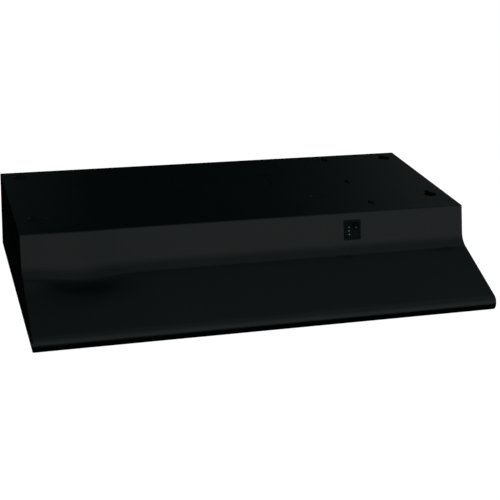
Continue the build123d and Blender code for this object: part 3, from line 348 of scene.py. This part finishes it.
def plain(dark, light, rough, size=0.0012, depth=0.00003, mottle=0.02, **constants):
    """Moulded, glazed or painted surface: faint mottling and a fine surface texture."""

    def build(n, shader, place):
        broad, fine = noise(n, place, mottle, 4), noise(n, place, mottle / 2, 4)
        n.link(n.ramp(broad, (0.3, dark), (0.7, light)), shader.inputs["Base Color"])
        n.link(n.ramp(fine, (0.2, rough - 0.05), (0.8, rough + 0.07)), shader.inputs["Roughness"])
        for socket, value in constants.items():
            shader.inputs[socket.replace("_", " ")].default_value = value
        bump(n, shader, noise(n, place, size, 2), depth, 0.6)

    return build


RIDGE_HALF = 2.5 * MM


def prismatic(n, shader, place):
    """Clear lamp lens with a moulded grid of small prisms."""
    x, y, _ = n.add("ShaderNodeSeparateXYZ", {"Vector": place}).outputs
    ridges = [n.math("PINGPONG", part, RIDGE_HALF) for part in (x, y)]
    height = n.math("ADD", *ridges)
    scratch = n.ramp(noise(n, place, 0.004, 4), (0.2, 0.08), (0.8, 0.16))
    n.link(scratch, shader.inputs["Roughness"])
    shader.inputs["Base Color"].default_value = (0.93, 0.95, 0.94, 1)
    shader.inputs["Transmission Weight"].default_value = 0.85
    shader.inputs["IOR"].default_value = 1.49
    bump(n, shader, height, 0.6, 0.5)


LOOKS = {
    "black_enamel": enamel,
    "galvanised_steel": galvanised,
    "zinc_fastener": metal((0.42, 0.42, 0.40), (0.60, 0.60, 0.56), 0.34, size=0.001),
    "lamination_steel": banded((0.04, 0.04, 0.045), (0.17, 0.17, 0.18), 0.42, "Z", 0.0010, 0.9),
    "motor_bracket_steel": metal((0.30, 0.30, 0.31), (0.46, 0.46, 0.47), 0.36, (40, 1, 1)),
    "copper": banded((0.20, 0.07, 0.02), (0.58, 0.26, 0.11), 0.28, "X", 0.0008, 0.9),
    "bronze": metal((0.33, 0.20, 0.09), (0.50, 0.33, 0.16), 0.4),
    "brass": metal((0.58, 0.42, 0.16), (0.76, 0.58, 0.26), 0.26),
    "bobbin_nylon": plain((0.62, 0.60, 0.52), (0.72, 0.70, 0.62), 0.45),
    "fan_aluminium": metal((0.50, 0.51, 0.52), (0.68, 0.69, 0.70), 0.32, (1, 14, 1), 0.004),
    "filter_aluminium": metal((0.48, 0.49, 0.50), (0.66, 0.67, 0.68), 0.34, (1, 30, 1), 0.004),
    "lamp_reflector_steel": plain((0.74, 0.74, 0.71), (0.82, 0.82, 0.80), 0.24),
    "socket_porcelain": plain((0.78, 0.77, 0.72), (0.86, 0.85, 0.81), 0.14),
    "bulb_base_metal": banded((0.45, 0.45, 0.46), (0.78, 0.78, 0.78), 0.25, "X", 0.0036, 1.0, 0.0012),
    "bulb_glass": plain((0.88, 0.88, 0.86), (0.93, 0.93, 0.91), 0.35, Transmission_Weight=0.35),
    "lens_plastic": prismatic,
    "switch_black": plain(
        (0.0006, 0.0022, 0.0022), (0.0010, 0.0030, 0.0030), 0.42,
        size=0.0004, depth=0.00001, mottle=0.006, Specular_IOR_Level=0.11,
    ),
    "grommet_rubber": plain((0.015, 0.015, 0.015), (0.03, 0.03, 0.03), 0.7),
    "lead_jacket": plain((0.03, 0.03, 0.032), (0.05, 0.05, 0.052), 0.5),
    "ground_green": plain((0.03, 0.22, 0.07), (0.05, 0.30, 0.10), 0.35),
}


def dress_nodes():
    """Every CAD node takes the material of its record slot."""
    made = {name: material(name, build) for name, build in LOOKS.items()}
    for part in frame["record"]["subparts"]:
        piece = nodes[part["node"]]
        finish = made[part["material_slot"]]
        if not piece.material_slots:
            piece.data.materials.append(finish)
        for slot in piece.material_slots:
            slot.link = "OBJECT"
            slot.material = finish
    return made


# ---------------------------------------------------------------- extra pieces
def piece_from(name, shape, finish, body):
    """Turns a bmesh into an object that rides on a body, with its finish."""
    bmesh.ops.recalc_face_normals(shape, faces=shape.faces)
    mesh = bpy.data.meshes.new(name)
    shape.to_mesh(mesh)
    shape.free()
    piece = bpy.data.objects.new(name, mesh)
    bpy.context.scene.collection.objects.link(piece)
    mesh.materials.append(finish)
    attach(piece, body)
    return piece


# Swells and dents where the crease's bend dies out near the front panel's ends: centre and
# spread in x and y, and height
CREASE_PINCHES = (
    ((-0.282, -0.209), (0.050, 0.029), -0.0070),
    ((-0.378, -0.204), (0.024, 0.018), 0.0015),
    ((0.352, -0.192), (0.022, 0.014), -0.0008),
)
PINCH_CUTS = (  # axis, from, to and step of the planes that divide the sheet round the pinches
    (0, -0.376, -0.130, 0.006),
    (0, 0.280, 0.378, 0.006),
    (1, -0.300, -0.176, 0.003),
)
VISOR_NORMAL = Vector((0, -0.446, 0.895))
SMOOTH_BELOW = math.radians(30)
SAME_POINT = 0.001 * MM


def pinched_panel(finish):
    """Front panel, divided finely and pinched where pressing leaves dimples in its crease."""
    source = nodes["front_panel"]
    shape = bmesh.new()
    shape.from_mesh(source.data)
    shape.transform(source.matrix_world)
    bmesh.ops.remove_doubles(shape, verts=shape.verts, dist=SAME_POINT)
    for axis, start, stop, step in PINCH_CUTS:
        normal = Vector([part == axis for part in range(3)])
        for cut in range(int((stop - start) / step) + 1):
            everything = shape.verts[:] + shape.edges[:] + shape.faces[:]
            place = normal * (start + cut * step)
            bmesh.ops.bisect_plane(shape, geom=everything, plane_co=place, plane_no=normal)
    for vert in shape.verts:
        for centre, spread, height in CREASE_PINCHES:
            away = sum(((vert.co[i] - centre[i]) / spread[i]) ** 2 for i in range(2))
            vert.co += VISOR_NORMAL * height * math.exp(-away)
        vert.co.z = min(max(vert.co.z, low.z), high.z)
    panel = piece_from("front_panel_pressed", shape, finish, "hood")
    panel.data.shade_smooth()
    panel.data.set_sharp_from_angle(angle=SMOOTH_BELOW)
    even = panel.modifiers.new("even_normals", "WEIGHTED_NORMAL")
    even.keep_sharp = True
    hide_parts("front_panel")
    return panel


DOT_RADIUS = 1.05 * MM
DOT_RISE = 0.18 * MM
DOT_SINK = 0.15 * MM
DOT_RINGS, DOT_SIDES = 3, 20
ROCKER_RISE = 3.0 * MM  # rocker's front above its pivot
ROCKER_VEE = 0.14  # slope of each half
FACE_NORMAL = Vector((0, -0.9701, 0.2425))  # the control face leans out 1 in 4
LIGHT_TILT = math.radians(8)  # rest tilt of the light rocker
FAN_DOTS = (4.8 * MM, -1.3 * MM, -7.3 * MM)  # up the rocker from its pivot
LIGHT_DOTS = (4.4 * MM,)


def rocker_marks(name, joint, tilt, places, finish):
    """Raised pale dots on a rocker's front, one for each setting."""
    shape = bmesh.new()
    turn = Matrix.Rotation(tilt, 3, "X")
    pivot = Vector(joints[joint]["pos_m"])
    upward = Vector((0, FACE_NORMAL.z, -FACE_NORMAL.y))
    for place in places:
        slope = Matrix.Rotation(math.copysign(math.atan(ROCKER_VEE), place), 3, "X")
        normal, along = slope @ FACE_NORMAL, slope @ upward
        centre = upward * place + FACE_NORMAL * (ROCKER_RISE + ROCKER_VEE * abs(place))
        loops = []
        for ring in range(DOT_RINGS + 1):
            angle = ring / DOT_RINGS * math.pi / 2
            radius = DOT_RADIUS * math.cos(angle)
            height = DOT_RISE * math.sin(angle)
            if ring == DOT_RINGS:
                loops.append([shape.verts.new(pivot + turn @ (centre + normal * height))])
                continue
            loop = []
            for side in range(DOT_SIDES):
                spin = 2 * math.pi * side / DOT_SIDES
                across = Vector((1, 0, 0)) * radius * math.cos(spin)
                offset = across + along * radius * math.sin(spin)
                loop.append(shape.verts.new(pivot + turn @ (centre + offset + normal * height)))
            loops.append(loop)
        base = [shape.verts.new(v.co - turn @ normal * DOT_SINK) for v in loops[0]]
        shape.faces.new(base)
        for low_loop, high_loop in zip([base, *loops[:-2]], loops[:-1]):
            for i in range(DOT_SIDES):
                j = (i + 1) % DOT_SIDES
                shape.faces.new((low_loop[i], low_loop[j], high_loop[j], high_loop[i]))
        for i in range(DOT_SIDES):
            shape.faces.new((loops[-2][i], loops[-2][(i + 1) % DOT_SIDES], loops[-1][0]))
    body = joints[joint]["child"]
    return piece_from(name, shape, finish, body)


STRAND_PITCH = 12 * MM  # length of one diamond of the expanded sheet
STRAND_ROW = 3 * MM  # half the height of one diamond
STRAND_WIDTH = 0.9 * MM
STRAND_THICKNESS = 0.4 * MM
LATTICE_LAYERS = 3


def filter_lattice(finish):
    """Layers of expanded aluminium: zigzag strands that meet their neighbours at each peak."""
    low_corner, high_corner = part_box("filter_mesh")
    shape = bmesh.new()
    width = high_corner.x - low_corner.x
    steps = int(width / STRAND_PITCH * 2)
    rows = int((high_corner.y - low_corner.y) / STRAND_ROW)
    rise = (high_corner.z - low_corner.z - 2 * STRAND_THICKNESS) / (LATTICE_LAYERS - 1)
    for layer in range(LATTICE_LAYERS):
        level = low_corner.z + STRAND_THICKNESS + layer * rise
        shift = layer * STRAND_PITCH / LATTICE_LAYERS
        for row in range(rows):
            middle = low_corner.y + (row + 0.5) * STRAND_ROW
            previous = None
            for step in range(steps + 1):
                x = low_corner.x + min(step * STRAND_PITCH / 2 + shift, width)
                peak = 1 if (step + row) % 2 else -1
                y = middle + peak * (STRAND_ROW - STRAND_WIDTH) / 2
                z = level + peak * STRAND_THICKNESS / 3
                ring = []
                for side_y, side_z in ((-1, -1), (1, -1), (1, 1), (-1, 1)):
                    ring.append(shape.verts.new((
                        x, y + side_y * STRAND_WIDTH / 2, z + side_z * STRAND_THICKNESS / 2,
                    )))
                if previous is None:
                    shape.faces.new(ring)
                else:
                    for i in range(4):
                        j = (i + 1) % 4
                        shape.faces.new((previous[i], previous[j], ring[j], ring[i]))
                previous = ring
            shape.faces.new(previous)
    lattice = piece_from("filter_lattice", shape, finish, "filter")
    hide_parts("filter_mesh")
    return lattice


PRISM_PITCH = 5 * MM
PRISM_RISE = 1.3 * MM
PRISM_BASE = 0.3 * MM
LENS_WALL = 2 * MM
LENS_INSET = 5 * MM  # clear of the lens's rounded corners


def lens_prisms(finish):
    """Pyramids moulded over the inside of the lens's floor."""
    low_corner, high_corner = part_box("lamp_lens")
    shape = bmesh.new()
    x0, x1 = low_corner.x + LENS_INSET, high_corner.x - LENS_INSET
    y0, y1 = low_corner.y + LENS_INSET, high_corner.y - LENS_INSET
    floor = low_corner.z + LENS_WALL - PRISM_BASE / 2
    columns, rows = int((x1 - x0) / PRISM_PITCH), int((y1 - y0) / PRISM_PITCH)

    def place(column, row, z):
        x, y = x0 + (x1 - x0) * column / columns, y0 + (y1 - y0) * row / rows
        return shape.verts.new((x, y, z))

    grid = [[place(c, r, floor + PRISM_BASE) for r in range(rows + 1)] for c in range(columns + 1)]
    for column in range(columns):
        for row in range(rows):
            tip = place(column + 0.5, row + 0.5, floor + PRISM_BASE + PRISM_RISE)
            corners = [
                grid[column][row], grid[column + 1][row],
                grid[column + 1][row + 1], grid[column][row + 1],
            ]
            for i in range(4):
                shape.faces.new((corners[i], corners[(i + 1) % 4], tip))
    rim = [grid[c][0] for c in range(columns + 1)]
    rim += [grid[columns][r] for r in range(1, rows + 1)]
    rim += [grid[c][rows] for c in range(columns - 1, -1, -1)]
    rim += [grid[0][r] for r in range(rows - 1, 0, -1)]
    under = [shape.verts.new((v.co.x, v.co.y, floor)) for v in rim]
    for i in range(len(rim)):
        j = (i + 1) % len(rim)
        shape.faces.new((rim[i], rim[j], under[j], under[i]))
    shape.faces.new(under)
    return piece_from("lens_prisms", shape, finish, "lens")


# ---------------------------------------------------------------- build
bpy.context.scene.view_settings.view_transform = "Standard"
make_camera()
make_world()
make_stage()
made = dress_nodes()
panel = pinched_panel(made["black_enamel"])
mark_paint = material("mark_paint", plain((0.10, 0.11, 0.11), (0.14, 0.15, 0.15), 0.5))
rocker_marks("fan_marks", "fan_rocker_tilt", 0, FAN_DOTS, mark_paint)
rocker_marks("light_mark", "light_rocker_tilt", LIGHT_TILT, LIGHT_DOTS, mark_paint)
filter_lattice(made["filter_aluminium"])
lens_prisms(made["lens_plastic"])
light_underside(panel)
